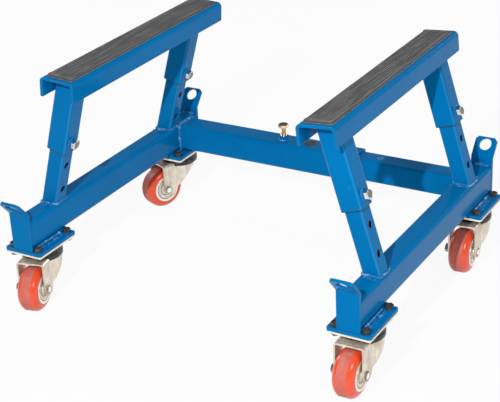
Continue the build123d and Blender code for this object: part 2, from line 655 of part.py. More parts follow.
# The same caster under each corner, swung as it stands
for corner, turn in CASTER_TURN.items():
    corner_x = RIGHT_X if "right" in corner else LEFT_X
    corner_y = FRONT_Y if "front" in corner else REAR_Y
    fixed = Pos(corner_x, corner_y, 0)
    swung = Location((corner_x, corner_y, 0), (0, 0, turn))
    save(top_plate.part.moved(fixed), f"{corner}_top_plate")
    save(raceway.part.moved(fixed), f"{corner}_raceway")
    save(fork.part.moved(swung), f"{corner}_fork")
    save(axle.part.moved(swung), f"{corner}_axle")
    save(hub.part.moved(swung), f"{corner}_hub")
    save(tyre.part.moved(swung), f"{corner}_tyre")
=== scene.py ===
import json
from functools import partial
from math import ceil, cos, pi, radians, sin, sqrt, tan
from random import Random

import bmesh
import bpy
from bpy.props import FloatProperty, FloatVectorProperty, IntProperty, PointerProperty
from mathutils import Matrix, Vector, noise


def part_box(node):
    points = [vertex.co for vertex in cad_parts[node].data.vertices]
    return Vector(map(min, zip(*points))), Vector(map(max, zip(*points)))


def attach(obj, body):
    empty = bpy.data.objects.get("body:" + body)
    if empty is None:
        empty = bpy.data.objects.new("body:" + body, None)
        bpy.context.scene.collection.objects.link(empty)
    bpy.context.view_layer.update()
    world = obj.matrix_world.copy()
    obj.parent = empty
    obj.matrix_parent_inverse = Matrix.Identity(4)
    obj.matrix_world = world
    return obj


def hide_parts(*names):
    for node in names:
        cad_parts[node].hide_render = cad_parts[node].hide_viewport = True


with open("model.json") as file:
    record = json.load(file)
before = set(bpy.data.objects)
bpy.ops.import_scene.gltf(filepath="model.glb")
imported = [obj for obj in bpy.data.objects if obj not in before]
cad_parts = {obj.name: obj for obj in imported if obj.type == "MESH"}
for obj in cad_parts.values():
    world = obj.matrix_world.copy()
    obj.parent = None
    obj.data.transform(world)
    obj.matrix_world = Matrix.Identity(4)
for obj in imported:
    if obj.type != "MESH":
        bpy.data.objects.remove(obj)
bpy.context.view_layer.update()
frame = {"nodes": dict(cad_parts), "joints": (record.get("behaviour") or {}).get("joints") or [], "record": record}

bl_info = {
    "name": "Shop Dolly Looks",
    "version": (1, 0, 0),
    "blender": (4, 5, 0),
    "location": "View3D > Sidebar > Dolly",
    "description": "Finishes, welds, threads, pads and stage of a telescoping shop dolly",
    "category": "Object",
}

NODES = frame["nodes"]
JOINTS = {joint["name"]: joint for joint in frame["joints"]}
MOUNTS = {mount["name"]: mount for mount in frame["record"]["mounts"]}
SIDES = ("left", "right")
ENDS = ("front", "rear")
CORNERS = tuple(f"{end}_{side}" for end in ENDS for side in SIDES)
MM = 0.001
# Across the dolly to the right, along its rails to the rear, and up
ACROSS = Vector((1, 0, 0))
ALONG = Vector((0, 1, 0))
UP = Vector((0, 0, 1))
# Radius of the soft edges of thick paint and of bare or plated metal
COAT_EDGE = 1.4 * MM
METAL_EDGE = 0.4 * MM


def middle(node):
    """Middle of a node's box."""
    low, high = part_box(node)
    return (low + high) / 2


def place_and_axis(item):
    """Place and axis of a joint or a mount."""
    return Vector(item["pos_m"]), Vector(item["axis"])


def reach_below(node, seat, axis):
    """How far a node reaches from a seat, against an axis."""
    return max((seat - vertex.co).dot(axis) for vertex in NODES[node].data.vertices)


def dress(node, material):
    """Gives a CAD node its finish."""
    NODES[node].data.materials[0] = material


def add_object(name, data):
    """New object in the scene."""
    item = bpy.data.objects.new(name, data)
    bpy.context.scene.collection.objects.link(item)
    return item


# Shader expressions

class Value:
    """A socket of a node tree that can be used in arithmetic."""

    def __init__(self, shader, socket):
        self.shader = shader
        self.socket = socket

    def math(self, operation, *others):
        inputs = dict(enumerate((self, *others)))
        return self.shader.node("ShaderNodeMath", {"operation": operation}, inputs)

    def __add__(self, other):
        return self.math("ADD", other)

    def __mul__(self, other):
        return self.math("MULTIPLY", other)

    def __sub__(self, other):
        return self.math("SUBTRACT", other)

    def __rsub__(self, other):
        return self.shader.node("ShaderNodeMath", {"operation": "SUBTRACT"}, {0: other, 1: self})

    __radd__ = __add__
    __rmul__ = __mul__

    def __abs__(self):
        return self.math("ABSOLUTE")

    def band(self, low, high):
        """0 at low, 1 at high, smooth between."""
        inputs = {"Value": self, "From Min": low, "From Max": high}
        return self.shader.node("ShaderNodeMapRange", {"interpolation_type": "SMOOTHSTEP"}, inputs)


class Shader:
    """A node tree that is filled by expressions."""

    def __init__(self, tree):
        self.tree = tree
        tree.nodes.clear()

    def node(self, kind, settings=None, inputs=None, output=0):
        """New node with its settings and the values or links of its sockets; gives one output."""
        node = self.tree.nodes.new(kind)
        for key, value in (settings or {}).items():
            setattr(node, key, value)
        for key, value in (inputs or {}).items():
            if isinstance(value, Value):
                self.tree.links.new(value.socket, node.inputs[key])
            else:
                node.inputs[key].default_value = value
        return Value(self, node.outputs[output]) if node.outputs else None

    def vector(self, operation, first, second, output="Vector"):
        """Sum, product or the like of two vectors."""
        inputs = {0: first, 1: second}
        return self.node("ShaderNodeVectorMath", {"operation": operation}, inputs, output)

    def place(self):
        """Point of the resting part in metres, which travels with its piece."""
        return self.node("ShaderNodeTexCoord", output="Object")

    def noise(self, scale, detail=2.0, stretch=None):
        """Noise that is fixed to the piece; stretch scales it along each axis."""
        where = self.place() if stretch is None else self.vector("MULTIPLY", self.place(), stretch)
        inputs = {"Vector": where, "Scale": scale, "Detail": detail}
        return self.node("ShaderNodeTexNoise", None, inputs)

    def along(self, origin, direction):
        """Distance from origin along direction."""
        arm = self.vector("SUBTRACT", self.place(), origin)
        return self.vector("DOT_PRODUCT", arm, direction, "Value")

    def from_axis(self, origin, direction):
        """Distance from the line through origin along direction."""
        arm = self.vector("SUBTRACT", self.place(), origin)
        turned = self.vector("CROSS_PRODUCT", arm, direction)
        return self.node("ShaderNodeVectorMath", {"operation": "LENGTH"}, {0: turned}, "Value")

    def mix(self, factor, first, second):
        """Colour between two others."""
        inputs = {"Factor": factor, 6: first, 7: second}
        return self.node("ShaderNodeMix", {"data_type": "RGBA"}, inputs, 2)

    def soft_edge(self, radius):
        """Normal that rounds the sharp edges of a piece."""
        return self.node("ShaderNodeBevel", {"samples": 6}, {"Radius": radius})

    def edge(self, rounded):
        """0 on flat faces, rising to the edges that a soft_edge normal rounds."""
        flat = self.node("ShaderNodeNewGeometry", output="Normal")
        return 1.0 - self.vector("DOT_PRODUCT", rounded, flat, "Value")

    def bump(self, height, strength, distance, normal=None):
        """Normal that a height disturbs."""
        inputs = {"Height": height, "Strength": strength, "Distance": distance}
        if normal is not None:
            inputs["Normal"] = normal
        return self.node("ShaderNodeBump", None, inputs)

    def scratched(self, scratch):
        """Normal of plated metal, with soft edges and fine scratches."""
        return self.bump(scratch, 0.08, 0.3 * MM, self.soft_edge(METAL_EDGE))


def finish(name, build, kind="ShaderNodeBsdfPrincipled"):
    """Material with one surface node, whose sockets come from build(shader) as a dict."""
    material = bpy.data.materials.new(name)
    material.use_nodes = True
    shader = Shader(material.node_tree)
    surface = shader.node(kind, None, build(shader))
    shader.node("ShaderNodeOutputMaterial", None, {"Surface": surface})
    return material


def rgba(colour):
    """Opaque colour for a socket."""
    return (*colour, 1.0)


# Finishes

def powder_coat(look, name, mark=None, sawn=None, tube=None):
    """Glossy blue powder coat with a fine orange peel, faint handling marks and thin pale edges that are a painted
    highlight, partly wear.

    mark is the place of a round print that the lock bolt's tip left. sawn is the foot and the
    direction of a tube with a dark sawn end, which is grime and painted shade of the gap under it.
    tube is the middle, the direction across the rails and the half width of a tube that is rusty
    inside and has a painted highlight on its rounded corners.
    """
    def build(s):
        rounded = s.soft_edge(COAT_EDGE)
        cloud = s.noise(7.0, 3.0)
        marks = s.noise(70.0, 6.0).band(0.64, 0.8)
        # worn is a painted highlight along the sharp edges that the soft normal rounds, partly edge wear; it and
        # the handling marks turn the paint paler
        worn = s.edge(rounded).band(0.03, 0.2)
        tone = s.mix(cloud.band(0.3, 0.7), rgba(look.paint), rgba(look.paint_deep))
        tone = s.mix(marks * 0.12 + worn * 0.4, tone, rgba(look.pale_paint_and_highlight))
        if sawn is not None:
            # Dark line at the sleeve's sawn end: grime, and painted shade of the gap where the post leaves it
            end = 1.0 - s.along(*sawn).band(0.8 * MM, 1.6 * MM)
            tone = s.mix(end, tone, rgba(look.sawn_grime_and_shade))
        if tube is not None:
            centre, across, half = tube
            sideways, endways = abs(s.along(centre, across)), abs(s.along(centre, ALONG))
            # Painted highlight: paler paint on the rounded corners of the tube
            rim = (half - 3.5 * MM, half - 2 * MM)
            corner = sideways.band(*rim) * endways.band(*rim)
            tone = s.mix(corner * 0.2, tone, rgba(look.pale_paint_and_highlight))
            bore = half - look.wall
            outside = sideways.math("MAXIMUM", endways).band(bore + 0.1 * MM, bore + 0.4 * MM)
            tone = s.mix(outside, rgba(look.rust), tone)
        if mark is not None:
            off_ring = abs(s.from_axis(mark, UP) - look.print_radius)
            ring = (1.0 - off_ring.band(0.3 * MM, 0.9 * MM)) * s.noise(240.0, 2.0).band(0.3, 0.55)
            tone = s.mix(ring * 0.75, tone, rgba(look.bare_steel))
        peel = s.noise(450.0, 1.0) + s.noise(1600.0, 1.0) * 0.3
        return {
            "Base Color": tone,
            "Roughness": 0.13 + cloud * 0.05 + marks * 0.15,
            "Specular IOR Level": look.coat_gloss,
            "Specular Tint": rgba(look.coat_tint),
            "Normal": s.bump(peel, 0.07, 0.4 * MM, rounded),
        }
    return finish(name, build)


def weld_coat(look, name, pale):
    """Powder coat over weld metal, with the sharp glints of its pits and patches of pale colour on its crests that
    are painted glints.
    """
    def build(s):
        pits = s.noise(520.0, 3.0)
        grains = s.noise(1700.0, 2.0)
        patch = s.noise(90.0, 2.0).band(0.48, 0.6)
        # Painted highlight: pale patches on the grain's crests stand in for glints; pale scales how much
        crest = grains.band(0.5, 0.62) * (0.06 + patch * 0.9) * pale
        tone = s.mix(pits.band(0.35, 0.7), rgba(look.paint_deep), rgba(look.paint))
        return {
            "Base Color": s.mix(crest, tone, rgba(look.weld_glint_paint)),
            "Roughness": 0.24 + grains * 0.12,
            "Specular IOR Level": look.weld_gloss,
            "Normal": s.bump(pits + grains * 0.4, 0.7, 0.9 * MM),
        }
    return finish(name, build)


def plated(name, colour, stain, metal, rough, grain=None):
    """Zinc plate with clouded tone and fine scratches; grain stretches both."""
    def build(s):
        cloud = s.noise(45.0, 4.0)
        scratch = s.noise(900.0, 3.0, grain)
        streak = s.noise(170.0, 4.0, grain)
        stained = (cloud * 0.6 + streak * 0.4).band(0.36, 0.66)
        return {
            "Base Color": s.mix(stained, rgba(colour), rgba(stain)),
            "Metallic": metal,
            "Roughness": rough + cloud * 0.12 + (scratch - 0.5) * 0.12,
            "Normal": s.scratched(scratch),
        }
    return finish(name, build)


def dark_coat(name, colour, rough):
    """Black oxide, paint or plastic with a dusty bloom."""
    def build(s):
        cloud = s.noise(120.0, 4.0)
        dust = tuple(channel + 0.05 for channel in colour)
        return {
            "Base Color": s.mix(cloud.band(0.45, 0.75), rgba(colour), rgba(dust)),
            "Roughness": rough + cloud * 0.2,
            "Normal": s.bump(s.noise(1500.0, 2.0), 0.1, 0.3 * MM, s.soft_edge(METAL_EDGE)),
        }
    return finish(name, build)


def polyurethane(look, corner):
    """Red cast tyre, glossy on its shoulders and scuffed on the tread band."""
    def build(s):
        across = abs(s.along(*place_and_axis(JOINTS[f"{corner}_spin"])))
        tread = 1.0 - across.band(look.tread - 1.5 * MM, look.tread + 0.5 * MM)
        scuff = s.noise(160.0, 5.0)
        dust = s.noise(60.0, 4.0).band(0.46, 0.68)
        worn = tread * (0.5 + scuff * 0.5)
        grit = s.noise(1200.0, 2.0) * tread
        specks = s.noise(800.0, 3.0).band(0.5, 0.64) * tread
        waves = s.noise(130.0, 2.0) * (1.0 - tread)
        tone = s.mix(worn, rgba(look.tyre), rgba(look.tyre_worn))
        tone = s.mix(dust * tread * 0.45, tone, rgba(look.tyre_dust))
        return {
            "Base Color": s.mix(specks * 0.5, tone, rgba(look.tyre_grit)),
            "Roughness": 0.14 + worn * 0.5 + s.noise(40.0, 2.0) * 0.06,
            "Normal": s.bump(grit + waves * 2.0, 0.25, 0.5 * MM),
            "Coat Weight": 0.2 - worn * 0.2,
        }
    return finish(f"red_polyurethane_{corner}", build)


def wheel_hub(casters, corner):
    """Zinc hub, whitest on its rim, tan inside it and dark in its turned grooves from painted shade and old
    grease.
    """
    def build(s):
        out = s.from_axis(*place_and_axis(JOINTS[f"{corner}_spin"]))
        cloud = s.noise(60.0, 4.0)
        rim = out.band(casters.rim_groove, casters.rim_groove + 1.0 * MM)
        tone = s.mix(rim * (0.75 + cloud * 0.35), rgba(casters.hub), rgba(casters.rim))
        # Dark rings in the turned grooves: painted shade, partly old grease
        grooves = 0.0
        for groove in (casters.rim_groove, casters.dish_groove):
            grooves = grooves + (1.0 - abs(out - groove).band(0.4 * MM, 1.0 * MM))
        return {
            "Base Color": s.mix(grooves * 0.85, tone, rgba(casters.grease_and_shade)),
            "Metallic": 0.45,
            "Roughness": 0.24 + cloud * 0.14,
            "Normal": s.scratched(s.noise(900.0, 3.0)),
        }
    return finish(f"zinc_hub_{corner}", build)


def bolt_head(joint, button, top, ring):
    """Crown of a bolt with a top of one tone inside a ring of another, round the axis of a joint."""
    def build(s):
        out = s.from_axis(*place_and_axis(JOINTS[joint]))
        cloud = s.noise(200.0, 4.0)
        outside = out.band(button, button + 0.9 * MM)
        return {
            "Base Color": s.mix(outside * (0.45 + cloud * 0.5), rgba(top), rgba(ring)),
            "Metallic": 0.8,
            "Roughness": 0.16 + cloud * 0.12,
            "Normal": s.scratched(s.noise(900.0, 3.0)),
        }
    return finish(f"bolt_head_{joint}", build)


def ribbed_rubber(look, pads, side):
    """Dull black rubber, dusty grey on its raised ribs, with painted shade making it darker between them."""
    def build(s):
        level = s.along(*place_and_axis(MOUNTS[f"{side}_pad_top"]))
        crest = level.band(-0.8 * pads.rib, -0.2 * pads.rib)
        cloud = s.noise(30.0, 5.0)
        streak = s.noise(260.0, 4.0, (1.0, 0.06, 1.0))
        tone = s.mix(streak.band(0.35, 0.7), rgba(look.rubber), rgba(look.rubber_dust))
        tone = s.mix(cloud.band(0.5, 0.8) * 0.4, tone, rgba(look.rubber_dust))
        return {
            # Painted shade: darker rubber in the grooves between the ribs
            "Base Color": s.mix(crest, rgba(look.rubber_groove_shade), tone),
            "Roughness": 0.62 + cloud * 0.2,
            "Normal": s.bump(s.noise(1400.0, 3.0) + streak * 0.5, 0.3, 0.5 * MM),
        }
    return finish(f"pad_rubber_{side}", build)


def glue(look):
    """Brown contact glue squeezed out under the pads."""
    def build(s):
        lumps = s.noise(300.0, 3.0)
        dark = tuple(0.55 * channel for channel in look.glue)
        return {
            "Base Color": s.mix(lumps.band(0.3, 0.7), rgba(look.glue), rgba(dark)),
            "Roughness": 0.35 + lumps * 0.3,
            "Normal": s.bump(lumps, 0.4, 0.6 * MM),
        }
    return finish("contact_glue", build)


# Mesh helpers

def new_piece(name, bm, material, body, crease=radians(60)):
    """Object from a bmesh that rides on a body, smooth up to a crease."""
    mesh = bpy.data.meshes.new(name)
    bmesh.ops.recalc_face_normals(bm, faces=bm.faces)
    bm.to_mesh(mesh)
    bm.free()
    for polygon in mesh.polygons:
        polygon.use_smooth = True
    mesh.set_sharp_from_angle(angle=crease)
    mesh.materials.append(material)
    piece = add_object(name, mesh)
    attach(piece, body)
    return piece


def skin(bm, rings, closed_path=False):
    """Quads between rings of vertices; each ring is a closed loop."""
    rings = [[bm.verts.new(point) for point in ring] for ring in rings]
    count = len(rings[0])
    pairs = list(zip(rings, rings[1:]))
    if closed_path:
        pairs.append((rings[-1], rings[0]))
    for first, second in pairs:
        for i in range(count):
            j = (i + 1) % count
            bm.faces.new((first[i], first[j], second[j], second[i]))
    if not closed_path:
        bm.faces.new(reversed(rings[0]))
        bm.faces.new(rings[-1])


def rounded_loop(centre, across, along, half_across, half_along, radius, steps=5):
    """Closed rounded rectangle of points in the plane of two unit vectors."""
    points = []
    for turn, (sx, sy) in enumerate(((1, 1), (-1, 1), (-1, -1), (1, -1))):
        for step in range(steps + 1):
            angle = (turn + step / steps) * pi / 2
            x = sx * (half_across - radius) + radius * cos(angle)
            y = sy * (half_along - radius) + radius * sin(angle)
            points.append(centre + across * x + along * y)
    return points


def resample(points, step, closed):
    """Points at even distances along a polyline."""
    if closed:
        points = points + points[:1]
    lengths = [(b - a).length for a, b in zip(points, points[1:])]
    total = sum(lengths)
    count = max(4, ceil(total / step))
    spaced = []
    leg, gone = 0, 0.0
    for i in range(count if closed else count + 1):
        target = total * i / count
        while leg < len(lengths) - 1 and gone + lengths[leg] < target:
            gone += lengths[leg]
            leg += 1
        part = (target - gone) / lengths[leg] if lengths[leg] else 0.0
        spaced.append(points[leg].lerp(points[leg + 1], min(1.0, part)))
    return spaced, total / count


def spatter(bm, line, ground, normal, spread, count, size):
    """Droplets of weld metal beside a line, half sunk in the face through ground."""
    smallest = 0.45
    chance = Random(len(bm.verts) + count)
    for _ in range(count):
        spot = line[0].lerp(line[-1], chance.random())
        spot += Vector([chance.uniform(-1, 1) for _ in range(3)]) * spread
        spot -= normal * (spot - ground).dot(normal)
        radius = size * chance.uniform(smallest, 1.0)
        matrix = Matrix.Translation(spot)
        bmesh.ops.create_icosphere(bm, subdivisions=2, radius=radius, matrix=matrix)


def weld_bead(bm, points, radius, ripple, closed=False):
    """Rippled bead along a path, lumpy like hand welding under paint.

    Noise of two sizes swells it and a third lets it drift. Each ripple bows along the path, and
    an open bead tapers to a blunt end.
    """
    sides, steps = 10, 5
    swell, grain, drift = 0.3, 0.16, 0.4
    wave, bow = 0.12, 0.9
    blunt, taper = 0.25, 1.4 * radius
    path, step = resample(points, ripple / steps, closed)
    count = len(path)
    rings = []
    normal = None
    for i, point in enumerate(path):
        after = path[(i + 1) % count] if closed or i + 1 < count else point
        before = path[i - 1] if closed or i else point
        tangent = (after - before).normalized()
        if normal is None:
            normal = tangent.orthogonal().normalized()
        normal = (normal - tangent * normal.dot(tangent)).normalized()
        side = tangent.cross(normal)
        sway = normal * noise.noise(point * 170.0) + side * noise.noise(point * 170.0 + UP)
        centre = point + sway * drift * radius
        lump = 1.0 + swell * noise.noise(point * 140.0) + grain * noise.noise(point * 420.0)
        edge = 1.0
        if not closed:
            end = min(1.0, min(i, count - 1 - i) * step / taper)
            edge = blunt + (1.0 - blunt) * sqrt(max(0.0, 1.0 - (1.0 - end) ** 2))
        phase = 2 * pi * i * step / ripple
        ring = []
        for k in range(sides):
            angle = 2 * pi * k / sides
            height = 1.0 + wave * sin(phase + bow * cos(angle))
            out = normal * cos(angle) + side * sin(angle)
            ring.append(centre + out * radius * lump * edge * height)
        rings.append(ring)
    skin(bm, rings, closed_path=closed)


# Settings

ColourProperty = partial(FloatVectorProperty, subtype="COLOR")
PlaceProperty = partial(FloatVectorProperty, subtype="XYZ")
LengthProperty = partial(FloatProperty, unit="LENGTH")
FactorProperty = partial(FloatProperty, subtype="FACTOR")
AngleProperty = partial(FloatProperty, subtype="ANGLE")
PowerProperty = partial(FloatProperty, subtype="POWER")


class DollyLook(bpy.types.PropertyGroup):
    """Colours and surface marks."""

    paint: ColourProperty(name="Paint", description="Blue powder coat", default=(0.0, 0.166, 0.432))
    paint_deep: ColourProperty(
        name="Deep paint", description="Slightly deeper blue of thick coats", default=(0.0, 0.152, 0.40))
    # Paler blue for rubbed marks, and for the painted highlight on sharp edges and tube corners
    pale_paint_and_highlight: ColourProperty(
        name="Rubbed paint", description="Paler blue where the coat is rubbed", default=(0.1, 0.32, 0.62))
    coat_gloss: FactorProperty(name="Coat gloss", description="Specular level of the coat", default=0.09)
    coat_tint: ColourProperty(
        name="Coat tint", description="Tint of the coat's reflections", default=(0.08, 0.55, 1.0))
    # Pale colour painted on the welds' crests as glints
    weld_glint_paint: ColourProperty(
        name="Weld crests", description="Thin coat on the crests of the welds", default=(0.66, 0.78, 0.90))
    weld_gloss: FactorProperty(name="Weld gloss", description="Specular level of the welds", default=0.4)
    bare_steel: ColourProperty(
        name="Bare steel", description="Steel where the coat is gone", default=(0.5, 0.44, 0.34))
    # Dark sawn ends of the sleeves: grime, and painted shade of the gap under them
    sawn_grime_and_shade: ColourProperty(
        name="Grime", description="Dark sawn ends of the sleeves", default=(0.05, 0.045, 0.045))
    rust: ColourProperty(name="Rust", description="Bare steel inside the posts", default=(0.36, 0.19, 0.11))
    wall: LengthProperty(name="Wall", description="Wall of the posts", default=2.5 * MM)
    print_radius: LengthProperty(
        name="Print radius", description="Radius of the lock bolt's old print", default=4.6 * MM)
    print_place: PlaceProperty(
        name="Print place", description="Old print on the inner tube", default=(0.1337, 0.232, 0.1605))
    oxide: ColourProperty(
        name="Black oxide", description="Caster bolts and nuts", default=(0.036, 0.033, 0.031))
    plug: ColourProperty(
        name="Plug", description="Dark plastic of the beam's plug", default=(0.055, 0.045, 0.042))
    rubber: ColourProperty(name="Rubber", description="Pad rubber", default=(0.088, 0.088, 0.09))
    # Darker rubber painted between the ribs as their shade
    rubber_groove_shade: ColourProperty(
        name="Dark rubber", description="Rubber between the ribs", default=(0.065, 0.065, 0.067))
    rubber_dust: ColourProperty(
        name="Dusty rubber", description="Grey bloom on the ribs", default=(0.21, 0.209, 0.213))
    glue: ColourProperty(name="Glue", description="Brown glue at the pads' edges", default=(0.36, 0.2, 0.08))
    tyre: ColourProperty(name="Tyre", description="Red cast polyurethane", default=(0.80, 0.078, 0.024))
    tyre_worn: ColourProperty(
        name="Worn tread", description="Scuffed tread band", default=(0.58, 0.122, 0.09))
    tyre_dust: ColourProperty(
        name="Tread dust", description="Pale dust on the tread", default=(0.60, 0.27, 0.235))
    tyre_grit: ColourProperty(
        name="Tread grit", description="Grey grit in the tread", default=(0.36, 0.21, 0.2))
    tread: LengthProperty(
        name="Tread half width", description="Half width of the flat tread band", default=9 * MM)


class DollyCasters(bpy.types.PropertyGroup):
    """Rings and tones of the casters' metal."""

    rim_groove: LengthProperty(
        name="Rim groove", description="Radius of the hub's outer groove", default=20.5 * MM)
    dish_groove: LengthProperty(
        name="Dish groove", description="Radius of the hub's inner groove", default=12.5 * MM)
    button: LengthProperty(
        name="Button", description="Radius of the axle bolt's bright crown", default=4.7 * MM)
    rim: ColourProperty(name="Rim", description="Bright zinc", default=(0.96, 0.93, 0.86))
    hub: ColourProperty(name="Hub", description="Tan zinc inside the rim", default=(0.76, 0.68, 0.57))
    # Dark tone of the hub grooves and round the axle bolts' crowns: painted shade and old grease
    grease_and_shade: ColourProperty(name="Grease", description="Old grease in grooves", default=(0.07, 0.06, 0.055))
    fork: ColourProperty(name="Fork", description="Warm zinc of the forks", default=(0.88, 0.80, 0.69))
    fork_stain: ColourProperty(
        name="Fork stain", description="Stains on the forks", default=(0.60, 0.51, 0.41))
    plate: ColourProperty(
        name="Plate", description="Yellowish zinc of the top plates", default=(0.95, 0.87, 0.73))
    plate_stain: ColourProperty(
        name="Plate stain", description="Stains on the top plates", default=(0.84, 0.76, 0.62))
    race: ColourProperty(name="Raceway", description="Black of the raceways", default=(0.02, 0.02, 0.022))


class DollyWelds(bpy.types.PropertyGroup):
    """Sizes of the weld beads."""

    radius: LengthProperty(name="Radius", description="Bead radius", default=2.8 * MM)
    ripple: LengthProperty(name="Ripple", description="Distance between ripples", default=2.4 * MM)
    nut: LengthProperty(name="Nut ring", description="Radius of the bead round a nut", default=9.6 * MM)
    riser: LengthProperty(
        name="Riser bead", description="Half length of the bead beside a riser", default=31 * MM)
    web: LengthProperty(
        name="Web", description="Depth of the sleeves' beads below the pad's top", default=9 * MM)


class DollyLocks(bpy.types.PropertyGroup):
    """Sizes and tones of the lock bolts."""

    thread: LengthProperty(name="Thread", description="Thread diameter", default=12 * MM)
    pitch: LengthProperty(name="Pitch", description="Thread pitch", default=1.75 * MM)
    flats: LengthProperty(name="Flats", description="Distance across the flats", default=17 * MM)
    head: LengthProperty(name="Head", description="Head height", default=6.5 * MM)
    crown: LengthProperty(name="Crown", description="Diameter of the flat top", default=15.6 * MM)
    crown_from: FactorProperty(
        name="Crown from", description="Share of the head where the top's finish starts", default=0.72)
    button: LengthProperty(name="Button", description="Radius of the dull top", default=6.2 * MM)
    top: ColourProperty(name="Top", description="Dull top of the height locks", default=(0.2, 0.205, 0.2))
    silver: ColourProperty(
        name="Silver", description="Bright zinc of the height locks", default=(0.86, 0.85, 0.83))
    silver_stain: ColourProperty(
        name="Silver stain", description="Stains on the height locks", default=(0.42, 0.41, 0.39))
    gold: ColourProperty(
        name="Gold", description="Yellow zinc of the width lock", default=(0.92, 0.76, 0.50))
    gold_stain: ColourProperty(
        name="Gold stain", description="Stains on the width lock", default=(0.78, 0.55, 0.30))
    dull: ColourProperty(name="Dull", description="Dull top of the width lock", default=(0.20, 0.20, 0.20))
    dull_stain: ColourProperty(
        name="Dull stain", description="Stains on the width lock's top", default=(0.10, 0.10, 0.10))


class DollyPads(bpy.types.PropertyGroup):
    """Sizes of the ribbed pads."""

    width: LengthProperty(name="Width", description="Pad width", default=48 * MM)
    base: LengthProperty(name="Base", description="Thickness below the ribs", default=2.4 * MM)
    rib: LengthProperty(name="Rib", description="Height of the ribs", default=1.2 * MM)
    ribs: IntProperty(name="Ribs", description="Number of ribs", default=9)
    corner: LengthProperty(name="Corner", description="Corner radius", default=4 * MM)


class DollyStage(bpy.types.PropertyGroup):
    """Camera and light."""

    eye: PlaceProperty(name="Eye", description="Camera place", default=(1.0988, -1.811, 1.1644))
    azimuth: AngleProperty(
        name="Azimuth", description="Camera's turn round the dolly", default=radians(31.335))
    elevation: AngleProperty(name="Elevation", description="Camera's height angle", default=radians(25.587))
    roll: AngleProperty(name="Roll", description="Camera's roll", default=radians(-2.972))
    lens: FloatProperty(name="Lens", description="Focal length in mm on a 36 mm sensor", default=98.61)
    aim: PlaceProperty(name="Aim", description="Point that the lamps face", default=(0.0, 0.0, 0.2))
    key: PlaceProperty(
        name="Key lamp", description="Place of the hard key lamp", default=(0.504, -1.944, 1.503))
    key_power: PowerProperty(name="Key power", description="Power of the hard key lamp", default=40.0)
    key_size: LengthProperty(name="Key size", description="Width of the hard key lamp", default=0.05)
    side: PlaceProperty(
        name="Side lamp", description="Place of the soft side lamp", default=(2.1, -0.7, 1.3))
    side_power: PowerProperty(name="Side power", description="Power of the soft side lamp", default=14.0)
    side_size: LengthProperty(name="Side size", description="Width of the soft side lamp", default=0.9)
    back: PlaceProperty(name="Back lamp", description="Place of the soft back lamp", default=(0.8, 2.9, 0.9))
    back_power: PowerProperty(name="Back power", description="Power of the soft back lamp", default=28.0)
    back_size: LengthProperty(name="Back size", description="Width of the soft back lamp", default=1.0)
    left: PlaceProperty(
        name="Left lamp", description="Place of the soft left lamp", default=(-2.4, 0.6, 1.1))
    left_power: PowerProperty(name="Left power", description="Power of the soft left lamp", default=16.0)
    left_size: LengthProperty(name="Left size", description="Width of the soft left lamp", default=1.0)
    fill: FloatProperty(name="Fill", description="Even light from all round", default=0.24)


# Operators

class DOLLY_OT_paint(bpy.types.Operator):
    """Powder coat on every welded steel piece"""
    bl_idname = "dolly.paint"
    bl_label = "Paint frame"

    def execute(self, context):
        look = context.scene.dolly_look
        coat = powder_coat(look, "blue_powder_coat")
        for item in frame["record"]["subparts"]:
            if item["material_slot"] == "blue_paint":
                dress(item["node"], coat)
        marked = powder_coat(look, "blue_powder_coat_marked", mark=tuple(look.print_place))
        dress("inner_cross_tube", marked)
        for side in SIDES:
            lean = Vector(JOINTS[f"{side}_cradle_slide"]["axis"])
            for end in ENDS:
                post, sleeve = f"{side}_{end}_post", f"{side}_{end}_sleeve"
                foot = min((vertex.co for vertex in NODES[sleeve].data.vertices), key=lean.dot)
                for node, sawn in ((post, None), (sleeve, (foot, lean))):
                    name, tube = f"blue_powder_coat_{node}", self.tube(node, lean)
                    dress(node, powder_coat(look, name, sawn=sawn, tube=tube))
        return {"FINISHED"}

    def tube(self, node, lean):
        """Middle, direction across the rails and half width of a leaning square tube."""
        across = ALONG.cross(lean)
        spread = [vertex.co.dot(across) for vertex in NODES[node].data.vertices]
        low, high = min(spread), max(spread)
        centre = across * (low + high) / 2 + ALONG * middle(node).y
        return centre, across, (high - low) / 2


class DOLLY_OT_casters(bpy.types.Operator):
    """Finishes of the casters: plates, raceways, forks, axles, hubs and tyres"""
    bl_idname = "dolly.casters"
    bl_label = "Finish casters"

    def execute(self, context):
        look = context.scene.dolly_look
        casters = context.scene.dolly_casters
        drawn, rolled = (1.0, 1.0, 0.15), (0.2, 1.0, 1.0)
        fork = plated("zinc_fork", casters.fork, casters.fork_stain, 0.62, 0.30, drawn)
        plate = plated("zinc_plate", casters.plate, casters.plate_stain, 0.35, 0.34, rolled)
        race = dark_coat("black_raceway", casters.race, 0.3)
        for corner in CORNERS:
            # The axle bolt's bright crown sits inside a dark ring of painted shade, partly grease
            axle = bolt_head(f"{corner}_spin", casters.button, casters.rim, casters.grease_and_shade)
            dress(f"{corner}_fork", fork)
            dress(f"{corner}_top_plate", plate)
            dress(f"{corner}_raceway", race)
            dress(f"{corner}_axle", axle)
            dress(f"{corner}_hub", wheel_hub(casters, corner))
            dress(f"{corner}_tyre", polyurethane(look, corner))
        return {"FINISHED"}


class DOLLY_OT_fasteners(bpy.types.Operator):
    """Black oxide on the caster bolts and dark plastic on the beam's plug"""
    bl_idname = "dolly.fasteners"
    bl_label = "Finish fasteners"

    def execute(self, context):
        look = context.scene.dolly_look
        oxide = dark_coat("black_oxide", look.oxide, 0.18)
        for side in SIDES:
            dress(f"{side}_caster_fasteners", oxide)
        dress("beam_plug", dark_coat("plug_plastic", look.plug, 0.45))
        return {"FINISHED"}


